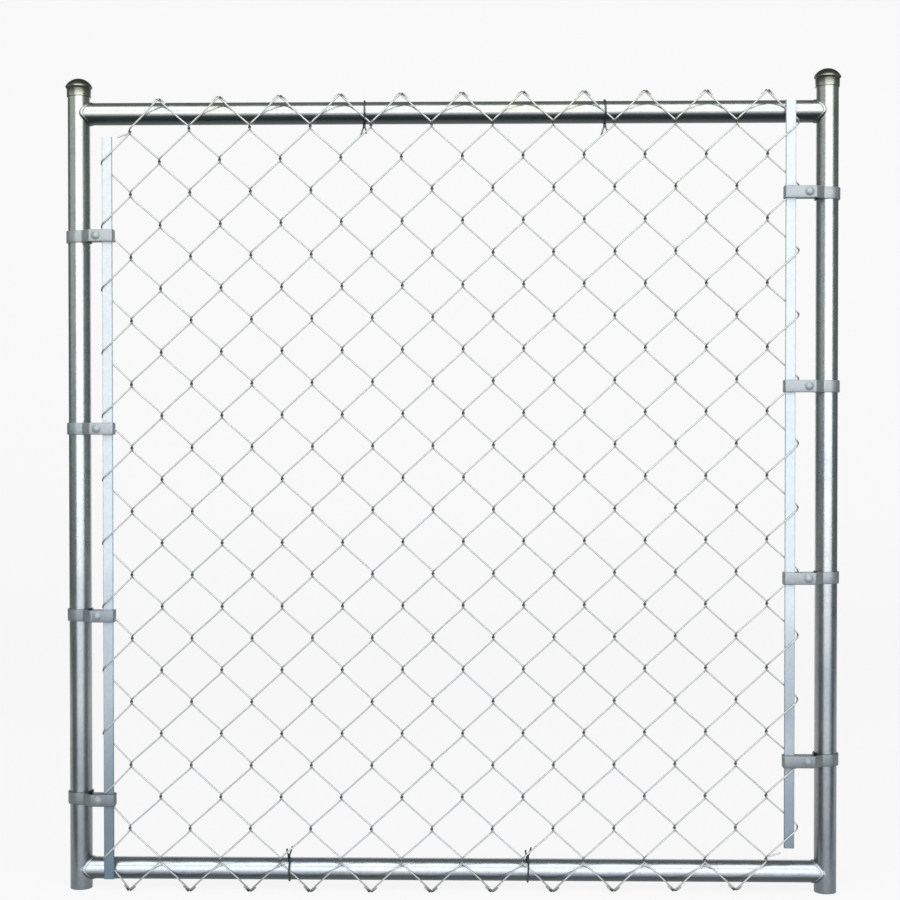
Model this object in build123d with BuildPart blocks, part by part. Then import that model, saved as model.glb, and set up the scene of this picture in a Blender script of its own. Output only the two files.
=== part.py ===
from build123d import *
from math import acos, atan2, cos, degrees, hypot, pi, radians, sin
import os

# A welded walk gate leaf of galvanised pipe with woven chain link fabric on its front.
# Units are millimetres. +Z is up, X runs along the width and the front faces -Y.
# The origin is the centre of the left stile's foot.

# Pipe frame
pipe_diameter = 34.93
pipe_wall = 1.65
stile_spacing = 1184.1
rail_spacing = 1201.0
foot_drop = 32.0
left_stile_rise = 43.0
right_stile_rise = 54.0
seat_gap = 0.2

# Weld beads round the coped rail ends
weld_on_stile = 3.4
weld_on_rail = 3.0
weld_gap = 0.1
weld_sides = 16

# Pressed dome caps over the stile tops
cap_wall = 1.3
cap_skirt = 16.0
cap_brim_width = 2.2
cap_brim_height = 2.0
cap_dome_height = 13.0
cap_dome_steps = 4
cap_crown_radius = 3.0
cap_top_gap = 0.3
cap_sides = 24

# Tension bars, flat bars threaded down the first and the last wire
bar_width = 15.9
bar_thickness = 4.8
bar_trim = 28.0
bar_edge = 1.0
left_bar_offset = 50.0
right_bar_offset = 61.5
left_bar_drop = 12.0
right_bar_lift = 42.5

# Woven fabric: each wire is a flattened zigzag with its "/" legs in front
wire_radius = 1.8
wire_sides = 4
weave_gap = 0.3
bend_height = 12.0
column_count = 22
row_spacing = 50.15
top_selvage_rise = 25.35
bottom_selvage_drop = 27.4
selvage_reach = 1.2
fold_run = 10.0
fold_drop = 8.0
loose_end_run = 26.0
loose_end_drop = 12.0

# Tension bands with their bolts and nuts
band_width = 19.0
band_thickness = 2.8
band_gap = 0.3
band_ring_steps = 15
ear_gap = 0.3
ear_root = 22.5
joggle_start = 9.0
lip_depth = 5.6
bolt_offset = 33.4
bolt_diameter = 6.35
bolt_length = 31.8
bolt_hole_gap = 0.3
bolt_head_diameter = 14.3
bolt_head_height = 3.3
bolt_head_edge = 0.8
bolt_crown_diameter = 7.0
bolt_sides = 12
nut_across_flats = 11.1
nut_height = 5.6
nut_bore_gap = 0.1
left_band_lifts = (114.0, 405.5)
left_band_drops = (499.5, 195.5)
right_band_lifts = (179.5, 467.0)
right_band_drops = (433.0, 130.0)

# Tie wires that hold the fabric to the rails, placed by columns of the weave
tie_radius = 1.3
tie_sides = 6
tie_ring_steps = 12
tie_ring_points = 8
tie_ring_start = 130.0
tie_gap = 0.3
tie_twist_drop = 10.0
tie_tail = 11.0
tie_lean = 3.2
top_tie_columns = (7.72, 15.72)
bottom_tie_columns = (5.17, 13.17)

# Sizes that follow from the ones above
pipe_radius = pipe_diameter / 2
bottom_rail_height = foot_drop
top_rail_height = foot_drop + rail_spacing
bar_length = rail_spacing - bar_trim
left_band_heights = [bottom_rail_height + lift for lift in left_band_lifts]
left_band_heights += [top_rail_height - drop for drop in left_band_drops]
right_band_heights = [bottom_rail_height + lift for lift in right_band_lifts]
right_band_heights += [top_rail_height - drop for drop in right_band_drops]
fabric_back = -(pipe_radius + weave_gap + wire_radius)
fabric_front = fabric_back - (bar_thickness + 2 * seat_gap + 2 * wire_radius)
bar_depth = (fabric_back + fabric_front) / 2
bend_shift = wire_radius + weave_gap / 2
bolt_hole = bolt_diameter + 2 * bolt_hole_gap
loop_reach = bar_width / 2 + seat_gap + wire_radius
left_bend_x = left_bar_offset - loop_reach
right_bend_x = stile_spacing - right_bar_offset + loop_reach
column_spacing = (right_bend_x - left_bend_x - 2 * bend_shift) / (column_count + 1)
first_column_x = left_bend_x + bend_shift + column_spacing
fabric_height = top_selvage_rise + rail_spacing + bottom_selvage_drop
last_row_height = bottom_rail_height - bottom_selvage_drop
front_ear_inside = fabric_front - wire_radius - ear_gap
rear_ear_inside = fabric_back + wire_radius + ear_gap

# The rows number -2 to an odd last one and are stretched a little to fill the height
row_count = 2 * int(fabric_height / (2 * row_spacing)) + 1
last_row = row_count - 2
row_pitch = fabric_height / row_count

os.makedirs("parts", exist_ok=True)


def save(part, node):
    part.label = node
    export_step(part, f"parts/{node}.step")


def level(x, y, z):
    return Plane(origin=(x, y, z), z_dir=(0, 0, 1))


def upright(x, z):
    return Plane(origin=(x, 0, z), x_dir=(0, 1, 0), z_dir=(1, 0, 0))


def facing_back(x, y, z):
    return Plane(origin=(x, y, z), z_dir=(0, 1, 0))


# Polygons stand for circles on the small pieces, and their flats keep the circle's distance
def polygon(radius, sides, mode=Mode.ADD):
    return RegularPolygon(radius, sides, major_radius=False, mode=mode)


# Stiles: open tubes, the left one a little shorter than the right
def build_stile(x, rise):
    with BuildPart() as stile:
        with BuildSketch(level(x, 0, 0)):
            Circle(pipe_radius)
            Circle(pipe_radius - pipe_wall, mode=Mode.SUBTRACT)
        extrude(amount=top_rail_height + rise)
    return stile


left_stile = build_stile(0, left_stile_rise)
save(left_stile.part, "left_stile")
right_stile = build_stile(stile_spacing, right_stile_rise)
save(right_stile.part, "right_stile")


# Rails: tubes coped round both stiles
def build_rail(height):
    with BuildPart() as rail:
        with BuildSketch(upright(0, height)):
            Circle(pipe_radius)
            Circle(pipe_radius - pipe_wall, mode=Mode.SUBTRACT)
        extrude(amount=stile_spacing)
        with Locations((0, 0, height), (stile_spacing, 0, height)):
            Cylinder(pipe_radius + seat_gap, 4 * pipe_radius, mode=Mode.SUBTRACT)
    return rail


top_rail = build_rail(top_rail_height)
save(top_rail.part, "top_rail")
bottom_rail = build_rail(bottom_rail_height)
save(bottom_rail.part, "bottom_rail")


# Weld beads: the saddle-shaped ring that stands over each seam
def build_weld(x, height, inward):
    with BuildPart() as weld:
        with BuildSketch(level(x, 0, height)):
            polygon(pipe_radius + weld_on_stile, weld_sides)
        extrude(amount=2 * pipe_radius, both=True)
        with BuildSketch(upright(x, height)):
            polygon(pipe_radius + weld_on_rail, weld_sides)
        extrude(amount=inward * 2 * pipe_radius, mode=Mode.INTERSECT)
        with BuildSketch(upright(x, height)):
            polygon(pipe_radius + weld_gap, weld_sides)
        extrude(amount=inward * 3 * pipe_radius, mode=Mode.SUBTRACT)
        with BuildSketch(level(x, 0, height)):
            polygon(pipe_radius + 2 * weld_gap, weld_sides)
        extrude(amount=3 * pipe_radius, both=True, mode=Mode.SUBTRACT)
    return weld


for end, x, inward in (("left", 0, 1), ("right", stile_spacing, -1)):
    for rail_name, height in (("top", top_rail_height), ("bottom", bottom_rail_height)):
        weld = build_weld(x, height, inward)
        save(weld.part, f"{rail_name}_{end}_weld")


# Rings of a flattened dome, from its rim up to its crown
def dome_rings(radius, centre_height, rim):
    start = acos(rim / radius)
    turns = [start + (pi / 2 - start) * count / cap_dome_steps for count in range(cap_dome_steps)]
    rings = [(radius * cos(turn), centre_height + radius * sin(turn)) for turn in turns]
    return rings + [(cap_crown_radius, centre_height + radius)]


# Frustums one above the other, each from one ring up to the next
def stacked(x, rings):
    with BuildPart() as stack:
        for (radius, low), (following, high) in zip(rings, rings[1:]):
            with BuildSketch(level(x, 0, low)):
                polygon(radius, cap_sides)
            extrude(amount=high - low, taper=degrees(atan2(radius - following, high - low)))
    return stack.part


# Dome caps: skirt, brim and dome, one thin pressing round the stile's top
def build_cap(x, pipe_top):
    inner = pipe_radius + seat_gap
    outer = inner + cap_wall
    brim = outer + cap_brim_width
    base = pipe_top - cap_skirt
    shoulder = pipe_top + cap_top_gap
    dome_radius = (brim**2 + cap_dome_height**2) / (2 * cap_dome_height)
    centre_height = shoulder + cap_dome_height - dome_radius
    dome = dome_rings(dome_radius, centre_height, brim)
    hollow = dome_rings(dome_radius - cap_wall, centre_height, inner)
    underside = shoulder - cap_brim_height
    with BuildPart() as cap:
        add(stacked(x, [(outer, base), (outer, underside)]))
        add(stacked(x, [(brim, underside), *dome]))
        add(stacked(x, [(inner, base), *hollow]), mode=Mode.SUBTRACT)
    return cap


left_cap = build_cap(0, top_rail_height + left_stile_rise)
save(left_cap.part, "left_dome_cap")
right_cap = build_cap(stile_spacing, top_rail_height + right_stile_rise)
save(right_cap.part, "right_dome_cap")


# Tension bars, with eased edges
def build_bar(x, foot):
    with BuildPart() as bar:
        with BuildSketch(level(x, bar_depth, foot)):
            Rectangle(bar_width, bar_thickness)
            chamfer(vertices(), bar_edge)
        extrude(amount=bar_length)
    return bar


left_bar = build_bar(left_bar_offset, bottom_rail_height - left_bar_drop)
save(left_bar.part, "left_tension_bar")
right_bar = build_bar(stile_spacing - right_bar_offset, bottom_rail_height + right_bar_lift)
save(right_bar.part, "right_tension_bar")


def column_x(column):
    return first_column_x + column * column_spacing


# Rows count down from row -2, the top selvage, to the last row, the bottom selvage
def row_z(row):
    return last_row_height + (last_row - row) * row_pitch


def bend_low(row):
    return row_z(row) - (selvage_reach if row == last_row else bend_height / 2)


def bend_high(row):
    return row_z(row) + (selvage_reach if row == -2 else bend_height / 2)


# At a bend the wire turns between the front and the back of the weave as it climbs
def right_bend(column, row):
    x = column_x(column) + bend_shift
    return [(x, fabric_front, bend_low(row)), (x, fabric_back, bend_high(row))]


def left_bend(column, row):
    x = column_x(column) - bend_shift
    return [(x, fabric_back, bend_low(row)), (x, fabric_front, bend_high(row))]


def step_from(point, across, up):
    return (point[0] + across, point[1], point[2] + up)


# The path of a wire from its lowest bend to its highest, with its ends folded back.
# Wire 0 is at the left bar, and wire w bends left at column w - 1 and right at column w.
def wire_path(wire):
    lowest = last_row if wire < column_count else last_row - 1
    highest = -2 if wire > 0 else -1
    path = []
    for row in range(lowest, highest - 1, -1):
        if (row + wire) % 2 == 0:
            path += left_bend(wire - 1, row)
        else:
            path += right_bend(wire, row)
    if wire == column_count:
        path.insert(0, step_from(path[0], loose_end_run, loose_end_drop))
    else:
        fold = fold_run if wire % 2 == 0 else -fold_run
        path.insert(0, step_from(path[0], fold, fold_drop))
    if wire == 0:
        path.append(step_from(path[-1], -loose_end_run, -loose_end_drop))
    else:
        fold = fold_run if wire % 2 else -fold_run
        path.append(step_from(path[-1], fold, -fold_drop))
    return path


def build_wire(wire):
    points = wire_path(wire)
    with BuildPart() as strand:
        with BuildLine() as path:
            Polyline(*points)
        with BuildSketch(Plane(origin=path.line @ 0, z_dir=path.line % 0)):
            RegularPolygon(radius=wire_radius, side_count=wire_sides)
        sweep(transition=Transition.RIGHT)
    return strand.part


# Wires of like shape are copies, moved two columns on each time
first_odd = build_wire(1)
first_even = build_wire(2)
wires = [build_wire(0), build_wire(column_count)]
for wire in range(1, column_count):
    pattern = first_odd if wire % 2 else first_even
    step = (wire - 1) // 2 * 2 * column_spacing
    wires.append(pattern.moved(Location((step, 0, 0))))
fabric = Compound(children=wires)
fabric.label = "chain_link_fabric"
export_step(fabric, "parts/chain_link_fabric.step")


# Tension bands: a strap round the stile whose two ears close on the bar
def build_band(stile_x, inward, height, bar_offset):
    ring = pipe_radius + band_gap + band_thickness / 2
    front_y = front_ear_inside - band_thickness / 2
    rear_y = rear_ear_inside + band_thickness / 2
    lip_x = bar_offset + bar_width / 2 + seat_gap + band_thickness / 2
    lip_y = front_y + band_thickness / 2 + lip_depth
    leave = atan2(rear_y, ear_root) + acos(ring / hypot(ear_root, rear_y))
    # The strap leaves the ring at its front and comes back to it past the far side
    step = (leave - 1.5 * pi) / band_ring_steps
    corner = ring / cos(step / 2)
    outline = [(lip_x, lip_y), (lip_x, front_y), (ear_root, front_y), (joggle_start, -ring)]
    for count in range(band_ring_steps):
        turn = -pi / 2 + step * (count + 0.5)
        outline.append((corner * cos(turn), corner * sin(turn)))
    outline += [(ear_root, rear_y), (lip_x, rear_y)]
    with BuildPart() as band:
        with BuildLine() as path:
            Polyline(*[(stile_x + inward * across, y, height) for across, y in outline])
        with BuildSketch(Plane(origin=path.line @ 0, x_dir=(0, 0, 1), z_dir=path.line % 0)):
            Rectangle(band_width, band_thickness)
        sweep(transition=Transition.RIGHT)
        with BuildSketch(facing_back(stile_x + inward * bolt_offset, 0, height)):
            Rectangle(bolt_hole, bolt_hole)
        extrude(amount=2 * front_y, both=True, mode=Mode.SUBTRACT)
    return band


# Carriage bolts: a low crowned head in front, a square neck in the front ear's square hole
# and the round shank on through the rear ear
def build_bolt(x, height):
    seat = facing_back(x, front_ear_inside - band_thickness, height)
    slope = (bolt_head_diameter - bolt_crown_diameter) / 2
    with BuildPart() as bolt:
        with BuildSketch(seat):
            polygon(bolt_head_diameter / 2, bolt_sides)
        extrude(amount=-bolt_head_height)
        crown = bolt.faces().sort_by(Axis.Y)[0]
        chamfer(crown.edges(), slope, bolt_head_height - bolt_head_edge, reference=crown)
        with BuildSketch(seat):
            polygon(bolt_diameter / 2, bolt_sides)
        extrude(amount=bolt_length)
        with BuildSketch(seat):
            Rectangle(bolt_diameter, bolt_diameter)
        extrude(amount=band_thickness)
    return bolt


def build_nut(x, height):
    seat = rear_ear_inside + band_thickness
    with BuildPart() as nut:
        with BuildSketch(facing_back(x, seat, height)):
            polygon(nut_across_flats / 2, 6)
            polygon(bolt_diameter / 2 + nut_bore_gap, bolt_sides, Mode.SUBTRACT)
        extrude(amount=nut_height)
    return nut


sides = (
    ("left", 0, 1, left_bar_offset, left_band_heights),
    ("right", stile_spacing, -1, right_bar_offset, right_band_heights),
)
for side, stile_x, inward, bar_offset, heights in sides:
    for count, height in enumerate(heights, start=1):
        bolt_x = stile_x + inward * bolt_offset
        band = build_band(stile_x, inward, height, bar_offset)
        save(band.part, f"{side}_band_{count}")
        bolt = build_bolt(bolt_x, height)
        save(bolt.part, f"{side}_bolt_{count}")
        nut = build_nut(bolt_x, height)
        save(nut.part, f"{side}_nut_{count}")


# Tie wires: a loop round the rail and the fabric wire in front of it, its ends side by side.
# The twist is below the top rail and above the bottom one.
def build_tie(x, rail_height, away):
    ring = (pipe_radius + tie_gap + tie_radius) / cos(radians(180 / tie_ring_steps))
    front = fabric_back - wire_radius - tie_gap - tie_radius
    twist = (front + tie_lean, -pipe_radius - tie_twist_drop)
    tail = (front + tie_lean, -pipe_radius - tie_twist_drop - tie_tail)
    loop = [tail, twist, (front, -pipe_radius), (front, 0)]
    for count in range(tie_ring_points):
        turn = radians(tie_ring_start - count * 360 / tie_ring_steps)
        loop.append((ring * cos(turn), ring * sin(turn)))
    loop += [twist, tail]
    drift = 2 * (tie_radius + tie_gap) / (len(loop) - 1)
    with BuildPart() as tie:
        with BuildLine() as path:
            Polyline(
                *[
                    (x - tie_radius - tie_gap + drift * count, y, rail_height - away * z)
                    for count, (y, z) in enumerate(loop)
                ]
            )
        with BuildSketch(Plane(origin=path.line @ 0, z_dir=path.line % 0)):
            RegularPolygon(radius=tie_radius, side_count=tie_sides)
        sweep(transition=Transition.RIGHT)
    return tie


for side, column in zip(("left", "right"), top_tie_columns):
    tie = build_tie(column_x(column), top_rail_height, -1)
    save(tie.part, f"top_{side}_tie")
for side, column in zip(("left", "right"), bottom_tie_columns):
    tie = build_tie(column_x(column), bottom_rail_height, 1)
    save(tie.part, f"bottom_{side}_tie")
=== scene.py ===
import math

import bpy
from mathutils import Euler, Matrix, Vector


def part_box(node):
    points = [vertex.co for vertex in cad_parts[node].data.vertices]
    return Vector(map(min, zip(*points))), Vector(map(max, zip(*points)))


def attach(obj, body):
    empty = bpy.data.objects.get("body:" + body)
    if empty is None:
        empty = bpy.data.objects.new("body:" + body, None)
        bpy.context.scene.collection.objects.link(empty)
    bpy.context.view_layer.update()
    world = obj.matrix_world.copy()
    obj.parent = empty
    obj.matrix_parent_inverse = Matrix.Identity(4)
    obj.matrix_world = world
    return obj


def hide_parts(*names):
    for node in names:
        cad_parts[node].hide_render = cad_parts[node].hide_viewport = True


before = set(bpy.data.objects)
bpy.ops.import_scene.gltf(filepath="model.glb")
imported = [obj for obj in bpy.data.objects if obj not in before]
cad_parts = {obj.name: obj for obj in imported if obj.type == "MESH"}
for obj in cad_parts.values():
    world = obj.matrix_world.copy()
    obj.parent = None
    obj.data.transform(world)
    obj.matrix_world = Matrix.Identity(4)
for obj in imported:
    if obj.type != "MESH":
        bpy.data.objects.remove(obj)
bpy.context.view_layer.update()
mm = 0.001


# Where the CAD parts are
def boxOf(node):
    low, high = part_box(node)
    return low, high, (low + high) / 2


stileLow, stileHigh, leftStile = boxOf("left_stile")
rightStile = boxOf("right_stile")[2]
topRail = boxOf("top_rail")[2]
bottomRail = boxOf("bottom_rail")[2]
pipeRadius = (stileHigh.x - stileLow.x) / 2
sideOf = {"left": (leftStile.x, 1), "right": (rightStile.x, -1)}
railOf = {"top": topRail.z, "bottom": bottomRail.z}
print("frame read: pipe radius", round(pipeRadius, 5))


# A socket of a node tree that takes part in sums and products
class Field:
    def __init__(self, tree, socket):
        self.tree = tree
        self.socket = socket

    def mathNode(self, operation, *values):
        node = self.tree.nodes.new("ShaderNodeMath")
        node.operation = operation
        for place, value in zip(node.inputs, values):
            plug(self.tree, place, value)
        return Field(self.tree, node.outputs[0])

    def __add__(self, other):
        return self.mathNode("ADD", self, other)

    def __radd__(self, other):
        return self.mathNode("ADD", other, self)

    def __sub__(self, other):
        return self.mathNode("SUBTRACT", self, other)

    def __rsub__(self, other):
        return self.mathNode("SUBTRACT", other, self)

    def __mul__(self, other):
        return self.mathNode("MULTIPLY", self, other)

    def __rmul__(self, other):
        return self.mathNode("MULTIPLY", other, self)

    def __truediv__(self, other):
        return self.mathNode("DIVIDE", self, other)

    def __neg__(self):
        return self.mathNode("MULTIPLY", self, -1.0)

    def __gt__(self, other):
        return self.mathNode("GREATER_THAN", self, other)

    def __lt__(self, other):
        return self.mathNode("LESS_THAN", self, other)

    def op(self, operation, *values):
        return self.mathNode(operation, self, *values)

    def clamp(self, low, high):
        return self.op("MAXIMUM", low).op("MINIMUM", high)


def plug(tree, place, value):
    if isinstance(value, Field):
        tree.links.new(value.socket, place)
    else:
        place.default_value = value


# One method for all other nodes: type, settings, and values by socket name or number
class Tree:
    def __init__(self, tree):
        self.tree = tree
        self.nodes = tree.nodes
        self.links = tree.links

    def add(self, kind, settings=None, values=None, output=0):
        node = self.nodes.new(kind)
        for name, value in (settings or {}).items():
            setattr(node, name, value)
        for name, value in (values or {}).items():
            plug(self, node.inputs[name], value)
        return Field(self, node.outputs[output]) if len(node.outputs) else node


# The colours of a Mix node go into its sockets 6 and 7 and leave by its output 2
def mixed(tree, share, first, second, blend="MIX"):
    settings = {"data_type": "RGBA", "blend_type": blend}
    return tree.add("ShaderNodeMix", settings, {0: share, 6: first, 7: second}, 2)


noiseMiddle = 0.5


# Zinc on steel: spangle, cloudy patches and warm and cool tints, with painted shade on undersides, on tops
# and at the wire's knuckles, and a darkening near the ground that is partly dirt and partly painted shade
def galvanised(name, look):
    material = bpy.data.materials.new(name)
    material.use_nodes = True
    tree = Tree(material.node_tree)
    tree.nodes.clear()
    place = tree.add("ShaderNodeTexCoord", output="Object")
    height = tree.add("ShaderNodeSeparateXYZ", None, {"Vector": place}, 2)
    facing = tree.add("ShaderNodeNewGeometry", output="Normal")
    upward = tree.add("ShaderNodeSeparateXYZ", None, {"Vector": facing}, 2)
    cells = {"Vector": place, "Scale": look["spangle"]}
    spangle = tree.add("ShaderNodeTexVoronoi", {"feature": "F1"}, cells, "Color")
    tone = tree.add("ShaderNodeSeparateColor", None, {"Color": spangle})
    clouds = {"Vector": place, "Scale": look["cloud"], "Detail": look["cloudDetail"]}
    cloud = tree.add("ShaderNodeTexNoise", None, clouds)
    patches = {"Vector": place, "Scale": look["patch"], "Detail": look["patchDetail"]}
    patch = tree.add("ShaderNodeTexNoise", None, patches)
    blend = (tone * look["spangleShare"] + cloud * (1 - look["spangleShare"])).clamp(0, 1)
    zinc = mixed(tree, blend, (*look["dark"], 1), (*look["light"], 1))
    tint = (patch - noiseMiddle) * look["tintSpread"]
    cool = (tint + look["coolness"] - height * look["coolRise"]).clamp(0, 1)
    tinted = mixed(tree, 1.0, zinc, mixed(tree, cool, (*look["warm"], 1), (*look["cool"], 1)), "MULTIPLY")
    # Painted shade: surfaces that face down are darkened
    under = (-upward * look["underSlope"] - look["underStart"]).clamp(0, 1) * look["underGrime"]
    # Painted shade: surfaces that face up are darkened, which makes the caps' domes dark
    over = (upward * look["topSlope"] - look["topStart"]).clamp(0, 1) * look["topGrime"]
    # Darker towards the ground below a set height: partly dirt, partly painted shade
    low = (look["grimeTop"] - height) / look["grimeTop"] + (patch - noiseMiddle)
    low = low.clamp(0, 1) * look["lowGrime"]
    grime = (under + over + low).clamp(0, look["grimeLimit"])
    # Painted shade at the wire's knuckles and end apexes, from the fabric's stored mask
    if look["knuckleGrime"]:
        knuckle = tree.add("ShaderNodeAttribute", {"attribute_name": "knuckle"}, output="Fac")
        grime = (grime + knuckle * look["knuckleGrime"]).clamp(0, look["knuckleLimit"])
    # The painted shade and the dirt are mixed into the zinc colour
    colour = mixed(tree, grime, tinted, (*look["grime"], 1))
    rough = look["rough"] + (cloud - noiseMiddle) * look["roughSpread"] + grime * look["grimeRough"]
    bump = tree.add(
        "ShaderNodeBump",
        None,
        {"Strength": look["bump"], "Distance": look["bumpDepth"], "Height": blend},
    )
    shader = tree.add(
        "ShaderNodeBsdfPrincipled",
        None,
        {"Base Color": colour, "Metallic": look["metal"], "Roughness": rough, "Normal": bump},
    )
    tree.add("ShaderNodeOutputMaterial", None, {"Surface": shader})
    return material


steelLook = {
    "dark": (0.42, 0.42, 0.42),
    "light": (0.6, 0.6, 0.6),
    "spangle": 260.0,
    "spangleShare": 0.4,
    "cloud": 35.0,
    "cloudDetail": 4.0,
    "patch": 5.0,
    "patchDetail": 2.0,
    "warm": (0.97, 1.0, 0.92),
    "cool": (0.85, 0.94, 1.05),
    "coolness": 0.85,
    "coolRise": 0.55,
    "tintSpread": 1.6,
    "rough": 0.27,
    "roughSpread": 0.14,
    "bump": 0.12,
    "bumpDepth": 0.0002,
    "metal": 0.95,
    # Colour and spread of the darkening: under and top darkening are painted shade, the low darkening is
    # partly dirt and partly painted shade
    "grime": (0.04, 0.055, 0.06),
    "grimeLimit": 0.9,
    "grimeRough": 0.12,
    "grimeTop": 0.55,
    "lowGrime": 0.85,
    "underGrime": 0.95,
    "underSlope": 3.5,
    "underStart": 0.2,
    "topGrime": 0.0,
    "topSlope": 1.8,
    "topStart": 0.15,
    "knuckleGrime": 0.0,
    "knuckleLimit": 0.95,
}


def steel(name, **changes):
    return galvanised(name, {**steelLook, **changes})


materials = {
    "pipe": steel("galvanised pipe", grimeTop=0.62, lowGrime=0.65),
    "rail": steel("galvanised rail pipe", lowGrime=0.0),
    # The cap's dome is darkened as painted shade
    "cap": steel(
        "galvanised cap",
        dark=(0.32, 0.32, 0.29),
        light=(0.46, 0.46, 0.42),
        topGrime=0.85,
        grime=(0.07, 0.075, 0.06),
        lowGrime=0.0,
    ),
    "bar": steel(
        "galvanised bar",
        dark=(0.6, 0.63, 0.64),
        light=(0.74, 0.78, 0.79),
        metal=0.4,
        rough=0.45,
        warm=(0.98, 0.99, 1.0),
        coolness=1.0,
        coolRise=0.8,
        grime=(0.07, 0.12, 0.16),
        grimeTop=0.52,
        lowGrime=0.95,
    ),
    # The wire's knuckles, end apexes and lowest part are darkened as painted shade
    "wire": steel(
        "galvanised wire",
        dark=(0.58, 0.59, 0.59),
        light=(0.78, 0.79, 0.79),
        cool=(0.95, 0.98, 1.0),
        metal=0.6,
        rough=0.4,
        grime=(0.02, 0.025, 0.025),
        underGrime=0.15,
        grimeTop=0.045,
        lowGrime=0.55,
        knuckleGrime=0.82,
    ),
    # The band's lower side is darkened as painted shade
    "band": steel(
        "galvanised band",
        dark=(0.34, 0.36, 0.365),
        light=(0.44, 0.46, 0.465),
        warm=(0.98, 1.0, 0.98),
        metal=0.6,
        rough=0.42,
        grimeTop=0.7,
        underGrime=0.4,
        lowGrime=0.6,
    ),
    # The bolt head's lower side is darkened as painted shade
    "bolt": steel(
        "zinc plated bolt",
        dark=(0.42, 0.45, 0.46),
        light=(0.53, 0.56, 0.57),
        metal=0.4,
        rough=0.5,
        underGrime=0.15,
        lowGrime=0.4,
    ),
    # The nut is near black as painted shade, for the dark gap below the band's ears
    "nut": steel("blackened nut", dark=(0.05, 0.05, 0.055), light=(0.1, 0.1, 0.11), rough=0.5),
    "weld": steel("weld bead", light=(0.62, 0.62, 0.62), rough=0.34, lowGrime=0.0),
    "tie": steel("soft tie wire", dark=(0.12, 0.13, 0.14), light=(0.26, 0.28, 0.29), rough=0.4),
}
for node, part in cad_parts.items():
    words = node.split("_")
    kind = {"stile": "pipe", "fabric": "wire"}.get(words[-1], words[-1])
    if words[-1].isdigit():
        kind = words[-2]
    part.data.materials.clear()
    part.data.materials.append(materials[kind])
print("materials made:", len(materials))


# Helpers that make a piece and let it ride with the gate
def addPiece(name, mesh, material, nodes):
    piece = bpy.data.objects.new(name, mesh)
    bpy.context.scene.collection.objects.link(piece)
    mesh.materials.clear()
    mesh.materials.append(materials[material])
    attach(piece, "root")
    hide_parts(*nodes)


def meshFrom(name, vertices, faces, sharpDegrees=35):
    mesh = bpy.data.meshes.new(name)
    mesh.from_pydata(vertices, [], faces)
    mesh.shade_smooth()
    mesh.set_sharp_from_angle(angle=math.radians(sharpDegrees))
    return mesh


# A grid of points wrapped around in its second direction, with its two ends closed
def tubeFaces(rings, steps):
    faces = []
    for ring in range(rings - 1):
        for step in range(steps):
            here = ring * steps + step
            beside = ring * steps + (step + 1) % steps
            faces.append((here, beside, beside + steps, here + steps))
    faces.append(tuple(reversed(range(steps))))
    faces.append(tuple(range((rings - 1) * steps, rings * steps)))
    return faces


# A grid of points wrapped around in both directions
def ringFaces(steps, sides):
    faces = []
    for step in range(steps):
        after = (step + 1) % steps
        for side in range(sides):
            beside = (side + 1) % sides
            near, far = step * sides, after * sides
            faces.append((near + side, near + beside, far + beside, far + side))
    return faces


# Fabric: 23 woven wires as one Geometry Nodes tree
fabricSizes = {
    "Wire Radius": 1.32 * mm,
    "Columns": 22,
    "Row Steps": 25,
    "Samples": 12,
    "First Column": 87.8 * mm,
    "Column Pitch": 47.57 * mm,
    "Last Row Height": 0.75 * mm,
    "Row Pitch": 50.45 * mm,
    "Back Depth": -19.2 * mm,
    "Weave Half Depth": 3.4 * mm,
    "Bar Half Depth": 4.4 * mm,
    "Bar Nearness": 36.0,
    "Bend Half": 0.12,
    "Bend Reach": 3.7 * mm,
    "End Shift": 2.0 * mm,
    "End Round": 0.03,
    "End Tail": 0.19,
    "Loose Tail": 0.57,
    "Loose Fall": 0.32,
    "Right Rise": 4.2 * mm,
    "Middle Spread": 3.0 * mm,
    "Twist": 0.9 * mm,
    "Corner Sag": 3.0 * mm,
    "Corner Side": 0.8,
    "Corner Width": 0.2,
    "Corner Level": 0.5,
    "Top Pull": 2.3 * mm,
    "Bottom Pull": 3.3 * mm,
    "Bar Tuck": 2.2 * mm,
    # Widths of the painted shade at the knuckles and end apexes, in rows
    "Knuckle Half": 0.065,
    "Apex Half": 0.035,
    "Dark Fade": 0.04,
    "Dark Past Apex": 0.05,
    "Wander": 1.6 * mm,
    "Wander Scale": 14.0,
    "Section Sides": 10,
}
wholeNumbers = ("Columns", "Row Steps", "Samples", "Section Sides")


def newGeometryTree(name, sizes):
    group = bpy.data.node_groups.new(name, "GeometryNodeTree")
    group.interface.new_socket("Geometry", in_out="INPUT", socket_type="NodeSocketGeometry")
    group.interface.new_socket("Geometry", in_out="OUTPUT", socket_type="NodeSocketGeometry")
    for label, value in sizes.items():
        kind = "NodeSocketInt" if label in wholeNumbers else "NodeSocketFloat"
        group.interface.new_socket(label, in_out="INPUT", socket_type=kind).default_value = value
    tree = Tree(group)
    given = tree.nodes.new("NodeGroupInput")
    values = {label: Field(tree, given.outputs[label]) for label in sizes}
    return group, tree, values


def finishGeometryTree(tree, geometry, material):
    realized = tree.add("GeometryNodeRealizeInstances", None, {"Geometry": geometry})
    dressed = tree.add("GeometryNodeSetMaterial", None, {"Geometry": realized, "Material": material})
    out = tree.nodes.new("NodeGroupOutput")
    tree.links.new(dressed.socket, out.inputs[0])


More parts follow.
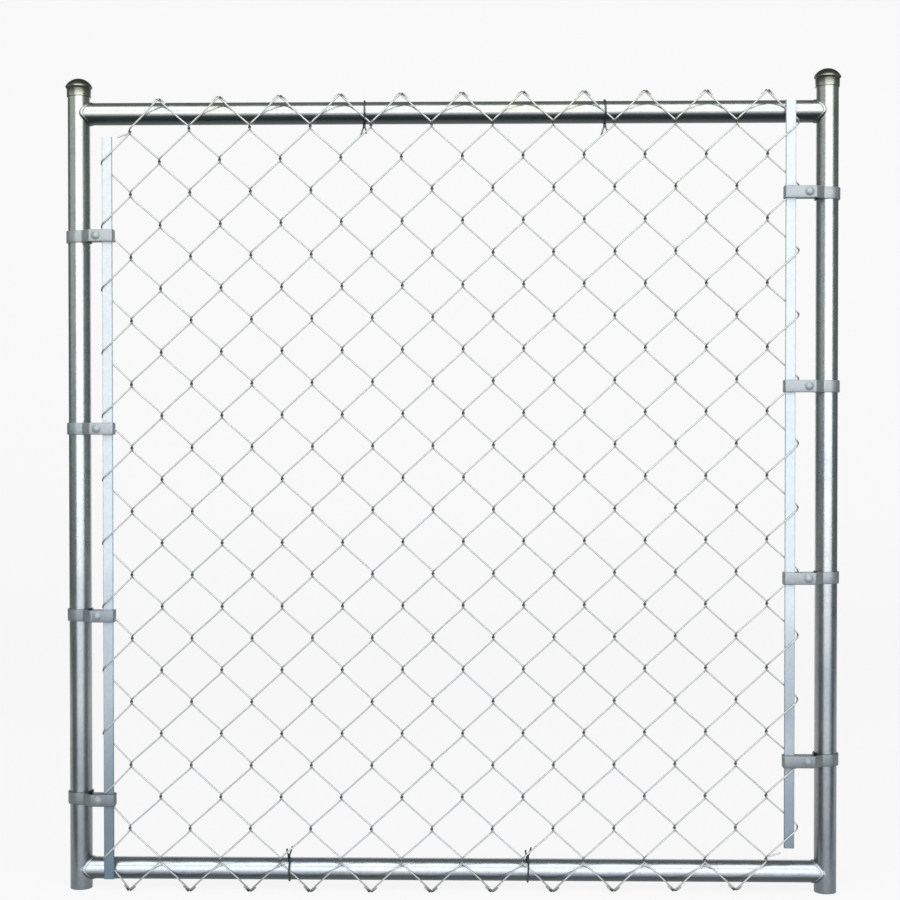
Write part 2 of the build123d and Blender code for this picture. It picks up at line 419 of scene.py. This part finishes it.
def meshOfTree(name, group, sizes):
    holder = bpy.data.objects.new(name + " source", bpy.data.meshes.new(name + " source"))
    bpy.context.scene.collection.objects.link(holder)
    modifier = holder.modifiers.new("shape", "NODES")
    modifier.node_group = group
    for item in group.interface.items_tree:
        if item.in_out == "INPUT" and item.name in sizes:
            modifier[item.identifier] = sizes[item.name]
    ready = holder.evaluated_get(bpy.context.evaluated_depsgraph_get())
    mesh = bpy.data.meshes.new_from_object(ready)
    holder.modifiers.remove(modifier)
    bpy.data.objects.remove(holder)
    mesh.name = name
    return mesh


def fabricTree(sizes):
    group, tree, v = newGeometryTree("woven fabric", sizes)
    # Each wire takes as many points, from below its bottom end to above its top one
    margin = 6
    perWire = v["Row Steps"] * v["Samples"] + (2 * margin + 1)
    count = perWire * (v["Columns"] + 1)
    line = tree.add("GeometryNodeMeshLine", None, {"Count": count})
    index = tree.add("GeometryNodeInputIndex")
    wire = (index / perWire).op("FLOOR")
    step = index - wire * perWire - margin
    # How many rows up the wire a point is, and how far past the nearest row
    along = step / v["Samples"]
    row = (along + 0.5).op("FLOOR").clamp(0.0, v["Row Steps"])
    past = along - row
    # Right bends are +1, left bends -1
    odd = (row + wire).op("FLOORED_MODULO", 2.0)
    side = 1 - 2 * odd
    column = wire - odd
    columnX = v["First Column"] + column * v["Column Pitch"]
    phase = (past / v["Bend Half"]).clamp(-1.0, 1.0) * (math.pi / 2)
    # A bend inside the field
    edge = v["Bend Reach"] - v["Wire Radius"]
    reach = ((0.5 - past.op("ABSOLUTE")) / (0.5 - v["Bend Half"])).op("MINIMUM", 1.0)
    middleX = v["First Column"] + (wire - 0.5) * v["Column Pitch"]
    fieldX = middleX + side * (v["Column Pitch"] / 2 - edge) * reach
    fieldX = fieldX + side * v["Bend Reach"] * phase.op("COSINE")
    fieldZ = along * v["Row Pitch"]
    # A knuckled end: the wire turns back at the selvage
    atBottom = row < 0.5
    atTop = row > v["Row Steps"] - 0.5
    atEnd = atBottom + atTop
    inner = past * (atBottom - atTop)
    endShift = v["End Shift"] * (1 - 2 * inner.op("MAXIMUM", 0.0))
    endX = columnX + side * (endShift - inner * v["Column Pitch"])
    lift = (inner * inner + v["End Round"] * v["End Round"]).op("SQRT") * v["Row Pitch"]
    endZ = row * v["Row Pitch"] + lift * (atBottom - atTop)
    x = fieldX + (endX - fieldX) * atEnd
    z = fieldZ + (endZ - fieldZ) * atEnd
    # The loose ends of the first wire at the top and of the last wire at the bottom
    firstWire = wire < 0.5
    lastWire = wire > v["Columns"] - 0.5
    overTop = (along - (v["Row Steps"] - 1)) * firstWire
    underBottom = (1 - along) * lastWire
    isOver = overTop > 0
    isUnder = underBottom > 0
    overZ = (v["Row Steps"] - 1 - overTop * v["Loose Fall"]) * v["Row Pitch"]
    underZ = (1 + underBottom * v["Loose Fall"]) * v["Row Pitch"]
    x = x + (fieldX - x) * (isOver + isUnder)
    z = z + (overZ - z) * isOver + (underZ - z) * isUnder
    # The weave is a little deeper where it holds the bars
    across = (x - v["First Column"]) / (v["Column Pitch"] * (v["Columns"] - 1))
    beyond = ((across - 0.5).op("ABSOLUTE") - 0.5) * v["Bar Nearness"]
    near = (beyond * (firstWire + lastWire)).clamp(0.0, 1.0)
    depth = v["Weave Half Depth"] + (v["Bar Half Depth"] - v["Weave Half Depth"]) * near
    y = v["Back Depth"] - depth + side * depth * phase.op("SINE")
    # The whole fabric hangs a little out of true: rightward runs from -1 at the left bar to 1 at the
    # right one, and downward from -1 at the top to 1 at the bottom
    rightward = across * 2 - 1
    downward = 1 - z / v["Row Pitch"] / v["Row Steps"] * 2
    cornerX = ((-v["Corner Side"] - rightward) / v["Corner Width"]).clamp(0.0, 1.0)
    corner = cornerX * (-v["Corner Level"] - downward).op("MAXIMUM", 0.0) / (1 - v["Corner Level"])
    z = z + v["Last Row Height"] + v["Right Rise"] * rightward
    z = z + v["Middle Spread"] * rightward * rightward * downward
    z = z - v["Twist"] * rightward * downward - v["Corner Sag"] * corner
    held = ((x - v["First Column"]) / v["Column Pitch"] + 1).clamp(0.0, 2.0)
    low = downward > 0.0
    pull = v["Bottom Pull"] * low * held.op("MINIMUM", 1.0) + v["Top Pull"] * (1 - low) * held / 2
    x = x - pull * downward * downward * (1 - rightward) + v["Bar Tuck"] * near * firstWire
    position = tree.add("ShaderNodeCombineXYZ", None, {0: x, 1: y, 2: z})
    noise = tree.add(
        "ShaderNodeTexNoise",
        {"noise_dimensions": "3D"},
        {"Vector": position, "Scale": v["Wander Scale"], "Detail": 1.0},
        "Color",
    )
    middle = (noiseMiddle, noiseMiddle, noiseMiddle)
    centred = tree.add("ShaderNodeVectorMath", {"operation": "SUBTRACT"}, {0: noise, 1: middle})
    drift = tree.add("ShaderNodeCombineXYZ", None, {0: v["Wander"], 1: 0.0, 2: v["Wander"]})
    wander = tree.add("ShaderNodeVectorMath", {"operation": "MULTIPLY"}, {0: centred, 1: drift})
    placed = {"Geometry": line, "Position": position, "Offset": wander}
    moved = tree.add("GeometryNodeSetPosition", None, placed)
    # How dark the wire is painted, as shade, where it bends behind its neighbour and at its end apexes, kept
    # for its material
    half = v["Knuckle Half"] + (v["Apex Half"] - v["Knuckle Half"]) * atEnd
    dark = 1 - ((past.op("ABSOLUTE") - half) / v["Dark Fade"]).clamp(0.0, 1.0)
    turned = v["Dark Past Apex"] - side * past * (1 - atEnd)
    dark = dark * (turned / v["Dark Fade"]).clamp(0.0, 1.0)
    moved = tree.add(
        "GeometryNodeStoreNamedAttribute",
        {"data_type": "FLOAT", "domain": "POINT"},
        {"Geometry": moved, "Name": "knuckle", "Value": dark},
    )
    # Points past the ends of a wire go, and so do the links between wires
    spare = (-along > v["End Tail"]) + (along - v["Row Steps"] > v["End Tail"])
    spare = spare + (overTop > v["Loose Tail"]) + (underBottom > v["Loose Tail"])
    seam = tree.add("GeometryNodeInputMeshEdgeVertices")
    seam = seam.op("FLOORED_MODULO", perWire) > perWire - 1.5
    cut = tree.add(
        "GeometryNodeDeleteGeometry",
        {"domain": "EDGE", "mode": "EDGE_FACE"},
        {"Geometry": moved, "Selection": seam},
    )
    chosen = {"Geometry": cut, "Selection": spare > 0.5}
    trimmed = tree.add("GeometryNodeDeleteGeometry", {"domain": "POINT"}, chosen)
    path = tree.add("GeometryNodeMeshToCurve", None, {"Mesh": trimmed})
    circle = {"Resolution": v["Section Sides"], "Radius": v["Wire Radius"]}
    section = tree.add("GeometryNodeCurvePrimitiveCircle", None, circle)
    swept = {"Curve": path, "Profile Curve": section, "Fill Caps": True}
    tube = tree.add("GeometryNodeCurveToMesh", None, swept)
    smooth = tree.add("GeometryNodeSetShadeSmooth", None, {"Geometry": tube})
    finishGeometryTree(tree, smooth, materials["wire"])
    return group


fabric = meshOfTree("wovenFabric", fabricTree(fabricSizes), fabricSizes)
addPiece("wovenFabric", fabric, "wire", ["chain_link_fabric"])
print("fabric made:", len(fabric.polygons), "faces")

# Tie wires: a loop round the rail and a twisted pair of ends. Angles are in degrees, and the points of
# the long and the short end are in mm, out from the twist and on past it
tieSizes = {
    "radius": 1.3 * mm,
    "gap": 0.25 * mm,
    "frontDepth": -21.8 * mm,
    "loopStart": 215,
    "loopTurn": 270,
    "loopSteps": 18,
    "lead": 1.05,
    "twistDepth": 0.55,
    "twistStart": 1.5 * mm,
    "twistLength": 5.0 * mm,
    "twistTurns": 1.0,
    "twistSteps": 12,
    "longEnd": ((2.4, 2.5), (3.4, 5.5), (4.4, 9.0), (5.6, 13.0)),
    "shortEnd": ((2.4, 2.5), (3.2, 5.0), (3.0, 9.0)),
}


def tiePoints(x, railZ, away, sizes):
    ring = pipeRadius + sizes["gap"] + sizes["radius"]
    lead = sizes["radius"] * sizes["lead"]
    loop = []
    # Up the front of the rail, over it and down its back
    for count in range(sizes["loopSteps"] + 1):
        turn = math.radians(sizes["loopStart"] - count * sizes["loopTurn"] / sizes["loopSteps"])
        y = ring * math.cos(turn)
        z = ring * math.sin(turn)
        front = max(0.0, -math.cos(turn))
        y -= front * (abs(sizes["frontDepth"]) - ring + sizes["radius"])
        loop.append((lead * (1 - 2 * count / sizes["loopSteps"]), y, z))
    # The two ends wind round each other on the far side
    twist = []
    for count in range(sizes["twistSteps"] + 1):
        share = count / sizes["twistSteps"]
        turn = share * sizes["twistTurns"] * 2 * math.pi
        z = -ring - sizes["twistStart"] - share * sizes["twistLength"]
        twist.append((away * lead * math.cos(turn), lead * math.sin(turn), z))
    middle = sizes["frontDepth"] * sizes["twistDepth"]
    end = twist[-1][2]
    first = [(px, middle + py, pz) for px, py, pz in twist]
    first += [(away * out * mm, middle, end - drop * mm) for out, drop in sizes["longEnd"]]
    second = [(-px, middle - py, pz) for px, py, pz in twist]
    second += [(-away * out * mm, middle, end - drop * mm) for out, drop in sizes["shortEnd"]]
    whole = list(reversed(first)) + loop + second
    return [Vector((x + px, py, railZ - away * pz)) for px, py, pz in whole]


def wireMesh(name, points, radius):
    curve = bpy.data.curves.new(name, "CURVE")
    curve.dimensions = "3D"
    spline = curve.splines.new("NURBS")
    spline.points.add(len(points) - 1)
    for place, point in zip(spline.points, points):
        place.co = (*point, 1)
    spline.order_u = 3
    spline.use_endpoint_u = True
    spline.resolution_u = 3
    curve.bevel_depth = radius
    curve.bevel_resolution = 3
    curve.use_fill_caps = True
    holder = bpy.data.objects.new(name, curve)
    bpy.context.scene.collection.objects.link(holder)
    ready = holder.evaluated_get(bpy.context.evaluated_depsgraph_get())
    mesh = bpy.data.meshes.new_from_object(ready)
    bpy.data.objects.remove(holder)
    mesh.shade_smooth()
    return mesh


for rail, away in (("top", -1), ("bottom", 1)):
    for side in ("left", "right"):
        node = f"{rail}_{side}_tie"
        points = tiePoints(boxOf(node)[2].x, railOf[rail], away, tieSizes)
        mesh = wireMesh(f"{rail}{side.title()}TieWire", points, tieSizes["radius"])
        addPiece(f"{rail}{side.title()}TieWire", mesh, "tie", [node])
print("tie wires made: 4")

# Welds: a rippled bead along each saddle-shaped seam
weldSizes = {
    "radius": 3.0 * mm,
    "flatness": 0.3,
    "ripple": 0.22 * mm,
    "ripples": 34,
    "swells": 3,
    "swellShift": 40,
    "above": 0.2 * mm,
    "reach": 1.2 * mm,
    "saddle": 0.985,
    "out": 0.6 * mm,
    "steps": 136,
    "sides": 10,
    "sharp": 70,
}


def weldMesh(name, x, railZ, inward, sizes):
    vertices = []
    ring = pipeRadius + sizes["above"]
    seam = pipeRadius + sizes["reach"]
    for step in range(sizes["steps"]):
        turn = 2 * math.pi * step / sizes["steps"]
        y = ring * math.sin(turn)
        z = ring * math.cos(turn)
        out = math.sqrt(max(seam**2 - (y * sizes["saddle"]) ** 2, 0.0)) + sizes["out"]
        centre = Vector((x + inward * out, y, railZ + z))
        radial = Vector((0, math.sin(turn), math.cos(turn)))
        along = Vector((inward, 0, 0))
        swell = sizes["radius"] + sizes["ripple"] * math.sin(turn * sizes["ripples"]) ** 3
        swell += sizes["ripple"] * math.sin(turn * sizes["swells"] + x * sizes["swellShift"])
        for side in range(sizes["sides"]):
            angle = 2 * math.pi * side / sizes["sides"]
            spot = radial * math.cos(angle) * sizes["flatness"] + along * math.sin(angle)
            vertices.append(centre + swell * spot)
    faces = ringFaces(sizes["steps"], sizes["sides"])
    if inward < 0:
        faces = [tuple(reversed(face)) for face in faces]
    return meshFrom(name, vertices, faces, sizes["sharp"])


for rail in railOf:
    for side, (x, inward) in sideOf.items():
        name = f"{rail}{side.title()}WeldBead"
        mesh = weldMesh(name, x, railOf[rail], inward, weldSizes)
        addPiece(name, mesh, "weld", [f"{rail}_{side}_weld"])
print("weld beads made: 4")

# Caps: a smooth pressed dome turned about each stile. The points under the wall and the brim are in mm,
# out from them and down from the shoulder
capSizes = {
    "gap": 0.2 * mm,
    "wall": 1.3 * mm,
    "rim": 0.3 * mm,
    "rimOuter": 0.4 * mm,
    "brimWidth": 2.2 * mm,
    "domeHeight": 13.0 * mm,
    "roofDrop": 1.0 * mm,
    "underWall": ((0.0, 3.6), (0.5, 2.8)),
    "underBrim": ((-0.5, 1.7), (-0.1, 1.2), (0.0, 0.6)),
    "pole": 0.05 * mm,
    "domeStart": 0.15,
    "domeSteps": 12,
    "steps": 64,
}


def turnedMesh(name, centre, profile, steps):
    vertices = []
    for radius, height in profile:
        for step in range(steps):
            turn = 2 * math.pi * step / steps
            vertices.append((centre.x + radius * math.cos(turn), centre.y + radius * math.sin(turn), height))
    return meshFrom(name, vertices, tubeFaces(len(profile), steps))


# From the roof's inner side down the wall, out under the brim and over the dome, as radius and height
def capProfile(node, sizes):
    low, high, centre = boxOf(node)
    inner = pipeRadius + sizes["gap"]
    outer = inner + sizes["wall"]
    brim = outer + sizes["brimWidth"]
    shoulder = high.z - sizes["domeHeight"]
    roof = shoulder - sizes["roofDrop"]
    rim = sizes["rim"]
    height = high.z - shoulder
    domeRadius = (brim**2 + height**2) / (2 * height)
    domeCentre = high.z - domeRadius
    start = math.acos(brim / domeRadius)
    profile = [(sizes["pole"], roof), (inner, roof)]
    profile += [(inner, low.z + rim), (inner + rim, low.z), (outer - rim, low.z)]
    profile.append((outer, low.z + sizes["rimOuter"]))
    profile += [(outer + out * mm, shoulder - drop * mm) for out, drop in sizes["underWall"]]
    profile += [(brim + out * mm, shoulder - drop * mm) for out, drop in sizes["underBrim"]]
    for count in range(sizes["domeSteps"]):
        turn = start + (math.pi / 2 - start) * (count + sizes["domeStart"]) / sizes["domeSteps"]
        profile.append((domeRadius * math.cos(turn), domeCentre + domeRadius * math.sin(turn)))
    profile.append((sizes["pole"], high.z))
    return centre, profile


for side in sideOf:
    node = f"{side}_dome_cap"
    centre, profile = capProfile(node, capSizes)
    mesh = turnedMesh(f"{side}DomeCap", centre, profile, capSizes["steps"])
    addPiece(f"{side}DomeCap", mesh, "cap", [node])
print("dome caps made: 2")

# Tension bands: a pressed strap round the stile with its two ears closed on the bar
bandSizes = {
    "thickness": 2.5 * mm,
    "gap": 0.3 * mm,
    "corner": 3.0 * mm,
    "earRoot": 22.5 * mm,
    "rearDepth": -14.36 * mm,
    "joggleStart": 9.0 * mm,
    "lipDepth": 5.6 * mm,
    "edgeRound": 0.8 * mm,
    "edgeSteps": 3,
    "ringSteps": 40,
    "cornerSteps": 6,
    "sharp": 50,
}


# A path in the plane whose corners become bends
def roundedPath(points, radius, steps):
    path = [Vector(points[0])]
    for before, here, after in zip(points, points[1:], points[2:]):
        here = Vector(here)
        start = (Vector(before) - here).normalized()
        end = (Vector(after) - here).normalized()
        half = start.angle(end) / 2
        reach = min(radius / math.tan(half), (Vector(before) - here).length / 2)
        first, last = here + start * reach, here + end * reach
        for count in range(steps + 1):
            share = count / steps
            blend = first * (1 - share) ** 2 + here * 2 * share * (1 - share) + last * share**2
            path.append(blend)
    path.append(Vector(points[-1]))
    return path


# Seen from above, from the lip of the front ear round the stile to the end of the rear ear
def bandPath(node, stileX, inward, sizes):
    low, high = boxOf(node)[:2]
    half = sizes["thickness"] / 2
    ring = pipeRadius + sizes["gap"] + half
    far = (high.x if inward > 0 else -low.x) - inward * stileX
    lipX = far - half
    frontY = low.y + half
    rearY = sizes["rearDepth"]
    ear = sizes["earRoot"]
    front = [(lipX, frontY + half + sizes["lipDepth"]), (lipX, frontY), (ear, frontY)]
    front += [(sizes["joggleStart"], -ring), (0, -ring)]
    path = roundedPath(front, sizes["corner"], sizes["cornerSteps"])
    lean = math.acos(ring / math.hypot(ear, rearY))
    leave = math.atan2(rearY, ear) + lean
    for count in range(1, sizes["ringSteps"] + 1):
        turn = -math.pi / 2 - (3 * math.pi / 2 - leave) * count / sizes["ringSteps"]
        path.append(Vector((ring * math.cos(turn), ring * math.sin(turn))))
    rear = [tuple(path[-1]), (ear, rearY), (lipX, rearY)]
    return path + roundedPath(rear, sizes["corner"], sizes["cornerSteps"])[1:]


def bandMesh(name, node, side, sizes):
    stileX, inward = sideOf[side]
    path = bandPath(node, stileX, inward, sizes)
    low, high, centre = boxOf(node)
    height = (high.z - low.z) / 2
    half = sizes["thickness"] / 2
    edge = sizes["edgeRound"]
    section = []
    for cornerX, cornerZ, start in ((1, 1, 0), (-1, 1, 90), (-1, -1, 180), (1, -1, 270)):
        for count in range(sizes["edgeSteps"] + 1):
            turn = math.radians(start + 90 * count / sizes["edgeSteps"])
            section.append((
                cornerX * (half - edge) + edge * math.cos(turn),
                cornerZ * (height - edge) + edge * math.sin(turn),
            ))
    vertices = []
    for place, point in enumerate(path):
        before = path[max(place - 1, 0)]
        after = path[min(place + 1, len(path) - 1)]
        run = (after - before).normalized()
        across = Vector((run.y, -run.x))
        for out, up in section:
            spot = point + across * out
            vertices.append((stileX + inward * spot.x, spot.y, centre.z + up))
    faces = tubeFaces(len(path), len(section))
    if inward > 0:
        faces = [tuple(reversed(face)) for face in faces]
    return meshFrom(name, vertices, faces, sizes["sharp"])


bandNumbers = (1, 2, 3, 4)
for side in sideOf:
    for count in bandNumbers:
        node = f"{side}_band_{count}"
        mesh = bandMesh(f"{side}Band{count}", node, side, bandSizes)
        addPiece(f"{side}Band{count}", mesh, "band", [node])
print("tension bands made: 8")

# Carriage bolts and nuts, turned about the depth axis
boltSizes = {
    "shank": 3.1 * mm,
    "head": 7.15 * mm,
    "headHeight": 3.3 * mm,
    "headEdge": 0.35 * mm,
    "headRound": 0.3 * mm,
    "headBack": 0.01 * mm,
    "headSteps": 8,
    "threadPitch": 1.41 * mm,
    "threadDepth": 0.45 * mm,
    "threadLength": 17.0 * mm,
    "ringsPerPitch": 6,
    "tipRound": 0.6 * mm,
    "pole": 0.02 * mm,
    "steps": 24,
    "sharp": 40,
}
nutSizes = {
    "bore": boltSizes["shank"] + 0.15 * mm,
    "rounding": 0.6,
    "roundFrom": 1.06,
    "steps": 48,
    "sharp": 30,
}


def boltMesh(name, node, sizes):
    low, high, centre = boxOf(node)
    seat = low.y + sizes["headHeight"]
    dome = (sizes["head"] ** 2 + sizes["headHeight"] ** 2) / (2 * sizes["headHeight"])
    rings = []
    for count in range(sizes["headSteps"] + 1):
        radius = max(sizes["head"] * count / sizes["headSteps"], sizes["pole"])
        rise = math.sqrt(dome**2 - radius**2) - (dome - sizes["headHeight"])
        rings.append((radius, seat - rise, False))
    rings[-1] = (sizes["head"], seat - sizes["headEdge"], False)
    rings.append((sizes["head"] - sizes["headRound"], seat, False))
    rings.append((sizes["shank"], seat + sizes["headBack"], False))
    start = high.y - sizes["threadLength"]
    rings.append((sizes["shank"], start, False))
    count = int(sizes["threadLength"] / sizes["threadPitch"] * sizes["ringsPerPitch"])
    for ring in range(1, count):
        rings.append((sizes["shank"], start + sizes["threadLength"] * ring / count, True))
    rings.append((sizes["shank"] - sizes["tipRound"], high.y, False))
    rings.append((sizes["pole"], high.y, False))
    vertices = []
    for radius, y, threaded in rings:
        for step in range(sizes["steps"]):
            turn = 2 * math.pi * step / sizes["steps"]
            own = radius
            if threaded:
                cycle = ((y - start) / sizes["threadPitch"] - step / sizes["steps"]) % 1
                own -= sizes["threadDepth"] * abs(2 * cycle - 1)
            vertices.append((centre.x + own * math.cos(turn), y, centre.z - own * math.sin(turn)))
    return meshFrom(name, vertices, tubeFaces(len(rings), sizes["steps"]), sizes["sharp"])


def nutMesh(name, node, sizes):
    low, high, centre = boxOf(node)
    flat = (high.x - low.x) / 2
    steps = sizes["steps"]
    bore = sizes["bore"]
    limit = flat * sizes["roundFrom"]
    vertices = []
    for step in range(steps):
        turn = 2 * math.pi * step / steps
        wedge = (turn + math.pi / 6) % (math.pi / 3) - math.pi / 6
        hexagon = flat / math.cos(wedge)
        drop = max(hexagon - limit, 0.0) * sizes["rounding"]
        column = [
            (bore, low.y),
            (min(hexagon, limit), low.y),
            (hexagon, low.y + drop),
            (hexagon, high.y - drop),
            (min(hexagon, limit), high.y),
            (bore, high.y),
        ]
        for radius, y in column:
            vertices.append((centre.x + radius * math.sin(turn), y, centre.z + radius * math.cos(turn)))
    faces = [(a, d, c, b) for a, b, c, d in ringFaces(steps, len(column))]
    return meshFrom(name, vertices, faces, sizes["sharp"])


for side in sideOf:
    for count in bandNumbers:
        mesh = boltMesh(f"{side}Bolt{count}", f"{side}_bolt_{count}", boltSizes)
        addPiece(f"{side}Bolt{count}", mesh, "bolt", [f"{side}_bolt_{count}"])
        mesh = nutMesh(f"{side}Nut{count}", f"{side}_nut_{count}", nutSizes)
        addPiece(f"{side}Nut{count}", mesh, "nut", [f"{side}_nut_{count}"])
print("bolts and nuts made: 16")

# Stage: a pale sheet that is the floor and curves up behind the gate
stageSizes = {
    "width": 5.6,
    "frontAt": -0.12,
    "backAt": 5.0,
    "height": 3.4,
    "bend": 2.0,
    "bendSteps": 16,
    "paint": (0.86, 0.86, 0.87),
    "glow": 1.0,
    "glowShare": 0.88,
}


def backdropMaterial(sizes):
    material = bpy.data.materials.new("pale backdrop")
    material.use_nodes = True
    tree = Tree(material.node_tree)
    tree.nodes.clear()
    rays = tree.nodes.new("ShaderNodeLightPath")
    seen = Field(tree, rays.outputs["Is Camera Ray"]) + Field(tree, rays.outputs["Is Glossy Ray"])
    seen = (seen + Field(tree, rays.outputs["Is Transmission Ray"])).clamp(0.0, 1.0)
    plain = tree.add("ShaderNodeBsdfDiffuse", None, {"Color": (*sizes["paint"], 1)})
    glow = tree.add("ShaderNodeEmission", None, {"Color": (1, 1, 1, 1), "Strength": sizes["glow"]})
    sheet = tree.add("ShaderNodeMixShader", None, {0: seen * sizes["glowShare"], 1: plain, 2: glow})
    tree.add("ShaderNodeOutputMaterial", None, {"Surface": sheet})
    return material


def backdrop(sizes):
    profile = [(sizes["frontAt"], 0.0), (sizes["backAt"] - sizes["bend"], 0.0)]
    for count in range(1, sizes["bendSteps"] + 1):
        turn = math.pi / 2 * count / sizes["bendSteps"]
        y = sizes["backAt"] - sizes["bend"] + sizes["bend"] * math.sin(turn)
        profile.append((y, sizes["bend"] * (1 - math.cos(turn))))
    profile.append((sizes["backAt"], sizes["height"]))
    half = sizes["width"] / 2
    middle = (leftStile.x + rightStile.x) / 2
    vertices = [(middle + end * half, y, z) for y, z in profile for end in (-1, 1)]
    faces = [(2 * n, 2 * n + 1, 2 * n + 3, 2 * n + 2) for n in range(len(profile) - 1)]
    mesh = meshFrom("backdrop", vertices, faces, 180)
    mesh.materials.append(backdropMaterial(sizes))
    sheet = bpy.data.objects.new("backdrop", mesh)
    bpy.context.scene.collection.objects.link(sheet)


backdrop(stageSizes)
print("stage made")

# Light: far, large soft lamps in front, above and at the left, and a dim one low in front, in a dim room
lampSizes = {
    "front": {
        "place": (3.2, -8.0, 1.9),
        "aim": (3.2, 0.0, 1.9),
        "size": (14.0, 5.0),
        "glow": 2.3,
        "colour": (1.0, 1.0, 1.0),
    },
    "above": {
        "place": (0.6, -4.27, 5.3),
        "aim": (0.6, -1.9, 0.0),
        "size": (7.0, 4.9),
        "glow": 2.3,
        "colour": (1.0, 1.0, 1.0),
    },
    "left": {
        "place": (-6.0, -3.0, 2.4),
        "aim": (0.6, 0.0, 1.2),
        "size": (7.0, 3.2),
        "glow": 0.5,
        "colour": (1.0, 1.0, 1.0),
    },
    "low": {
        "place": (1.2, -8.0, -1.7),
        "aim": (1.2, 0.0, -1.7),
        "size": (10.0, 2.2),
        "glow": 1.5,
        "colour": (0.9, 0.88, 1.0),
    },
}
roomSizes = {"colour": (0.88, 1.0, 0.96), "strength": 0.16}


# A lamp's energy in watts follows from how bright its face is and how large
def addLamp(name, sizes):
    light = bpy.data.lights.new(name, "AREA")
    light.shape = "RECTANGLE"
    light.size, light.size_y = sizes["size"]
    light.energy = sizes["glow"] * math.pi * light.size * light.size_y
    light.color = sizes["colour"]
    lamp = bpy.data.objects.new(name, light)
    bpy.context.scene.collection.objects.link(lamp)
    lamp.location = sizes["place"]
    aim = Vector(sizes["aim"]) - Vector(sizes["place"])
    lamp.rotation_euler = aim.to_track_quat("-Z", "Y").to_euler()
    lamp.visible_camera = False


for name, sizes in lampSizes.items():
    addLamp(name, sizes)
world = bpy.data.worlds.new("dim room")
world.use_nodes = True
world.node_tree.nodes["Background"].inputs["Color"].default_value = (*roomSizes["colour"], 1)
world.node_tree.nodes["Background"].inputs["Strength"].default_value = roomSizes["strength"]
bpy.context.scene.world = world
print("lamps made:", len(lampSizes))

# Camera: where the photograph was taken from, for a square picture of 900 pixels. Angles are in degrees
cameraSizes = {
    "place": (643.5 * mm, -2596.7 * mm, 737.7 * mm),
    "focalPixels": 1637.0,
    "picturePixels": 900.0,
    "sensor": 36.0,
    "clipEnd": 100.0,
    "turnLeft": 1.187,
    "lookDown": 0.84,
    "roll": 0.008,
}


def addCamera(sizes):
    data = bpy.data.cameras.new("camera")
    data.sensor_width = sizes["sensor"]
    data.lens = sizes["focalPixels"] / sizes["picturePixels"] * data.sensor_width
    data.clip_end = sizes["clipEnd"]
    camera = bpy.data.objects.new("camera", data)
    bpy.context.scene.collection.objects.link(camera)
    camera.location = sizes["place"]
    tilt = math.radians(90 - sizes["lookDown"])
    turned = Euler((tilt, math.radians(sizes["roll"]), math.radians(sizes["turnLeft"])), "XYZ")
    camera.rotation_euler = turned
    bpy.context.scene.camera = camera


addCamera(cameraSizes)
bpy.context.scene.view_settings.view_transform = "Standard"
print("camera made")
